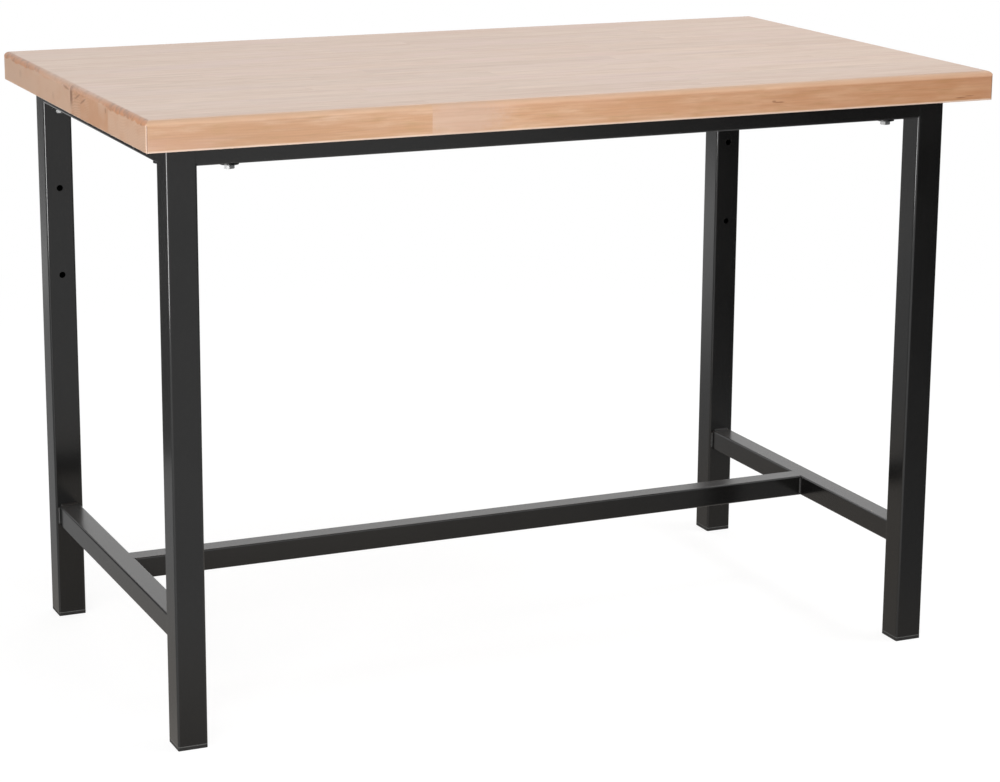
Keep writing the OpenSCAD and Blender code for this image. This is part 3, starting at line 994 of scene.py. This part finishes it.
# What sets single staves apart, as the photograph shows them
STAVE_LOOKS = {
    # The front stave's amber right end is partly painted shade, and its darker left end is painted shade
    "stave_01_left": {"warmth": 0.74, "painted_left_shade": 0.15},
    "stave_01_right": {"warmth": 0.61, "amber": True, "marks": [
        on_front(GREY_PINK, -190, 20, 85, 35, 0.5),
        on_front(KNOT, 266, 25, 11, 1.3, 0.7),
        on_front(KNOT, 258, 23.5, 4, 2, 0.6),
        on_front(KNOT, 548, 34, 12, 1.2, 0.6),
        on_front(KNOT, 562, 32.2, 10, 1.1, 0.55),
    ]},
    "stave_03": {"marks": [on_top(PALE, -50, -250, 50, 14, 0.6)]},
    "stave_04": {"marks": [
        on_top(DEEP, -75, -200, 130, 13, 0.2),
        on_top(DEEP, 140, -196, 120, 10, 0.18),
    ]},
    "stave_05": {"end_warmth": 0.7, "marks": [
        on_end(-170, 12, 5, 5, 0.6),
        on_top(DEEP, 440, -158, 90, 13, 0.17),
    ]},
    "stave_06": {"end_warmth": 1.0},
    "stave_07": {"end_warmth": 0.8, "ring_depth": 0.4, "marks": [
        on_end(-66, 15, 19, 1.8, 0.8, lean=-0.36),
        on_top(DEEP, -470, -70, 120, 20, 0.13),
        on_top(DEEP, -320, -62, 80, 8, 0.2),
        on_top(PALE, 315, -70, 45, 14, 0.6),
    ]},
    "stave_08": {"end_warmth": 0.55, "ring_depth": 0.6, "marks": [
        on_end(-14, 14, 4.5, 20, 0.9),
        on_end(-41, 12, 19, 1.8, 0.8, lean=-0.36),
        on_top(DEEP, 325, -32, 130, 12, 0.22),
    ]},
    "stave_09": {"marks": [
        on_end(-9, 14, 4.5, 20, 0.9),
        on_end(14, 7, 20, 2.5, 0.7, lean=0.1),
        on_top(PALE, 335, 10, 40, 12, 0.6),
    ]},
    "stave_11": {"marks": [on_end(79, 27, 6, 7, 0.25)]},
    "stave_12": {"marks": [on_top(DEEP, -90, 133, 120, 14, 0.13)]},
    "stave_15": {"marks": [on_end(249, 20, 8, 9, 0.25)]},
}
STAVE_SEED = 40
WARMTH_SEED = 200
WARMTH_RANGE = (0.25, 0.55)


def dress_worktop():
    """Every stave gets a material of its own, with its draws from its own seeds."""
    staves = sorted(name for name in nodes if name.startswith("stave_"))
    for number, stave in enumerate(staves):
        draw = random.Random(WARMTH_SEED + number)
        looks = {"warmth": draw.uniform(*WARMTH_RANGE), **STAVE_LOOKS.get(stave, {})}
        dress([stave], beech(stave, STAVE_SEED + number, **looks))


def dress_frame():
    """Black paint on the tubes and their flush welds, and rippled beads for the other welds."""
    paint = powder_coat("powder_coat", edge=PAINT_EDGE_HIGHLIGHT, roughness=0.14)
    weld_paint = powder_coat("powder_coat_on_welds", edge=PAINT, roughness=0.4)
    dress([name for name in nodes if name.startswith("leg_")], paint)
    dress([name for name in nodes if name.endswith(("_rail", "_stretcher", "_flush_welds"))], paint)
    weld_piece("end_stretcher_beads", "end_stretcher_welds", stretcher_leg_beads(), weld_paint)
    weld_piece("centre_stretcher_beads", "centre_stretcher_welds", centre_stretcher_beads(), weld_paint)
    weld_piece("rail_beads", "rail_inner_welds", rail_leg_beads(), weld_paint)


def dress_fittings():
    """The caps under the legs, and the bolts, washers and inserts that hold the worktop."""
    dress([name for name in nodes if name.startswith("foot_cap_")], cap_plastic())
    dress(["worktop_bolts"], metal("zinc_plate", ZINC, roughness=0.42, wear=0.2))
    # The washers get a near-black metal
    dress(["bolt_washers"], metal("near_black_washer", NEAR_BLACK_WASHER, roughness=0.34, wear=0.06))
    dress(["threaded_inserts"], metal("brass", BRASS, roughness=0.3, wear=0.2))


make_camera()
dress_worktop()
dress_frame()
dress_fittings()
make_floor()
make_card()
make_world()
for name, (at, target, size, watts) in LAMPS.items():
    area_light(name, at, target, size, watts)
bpy.context.scene.view_settings.view_transform = "Standard"
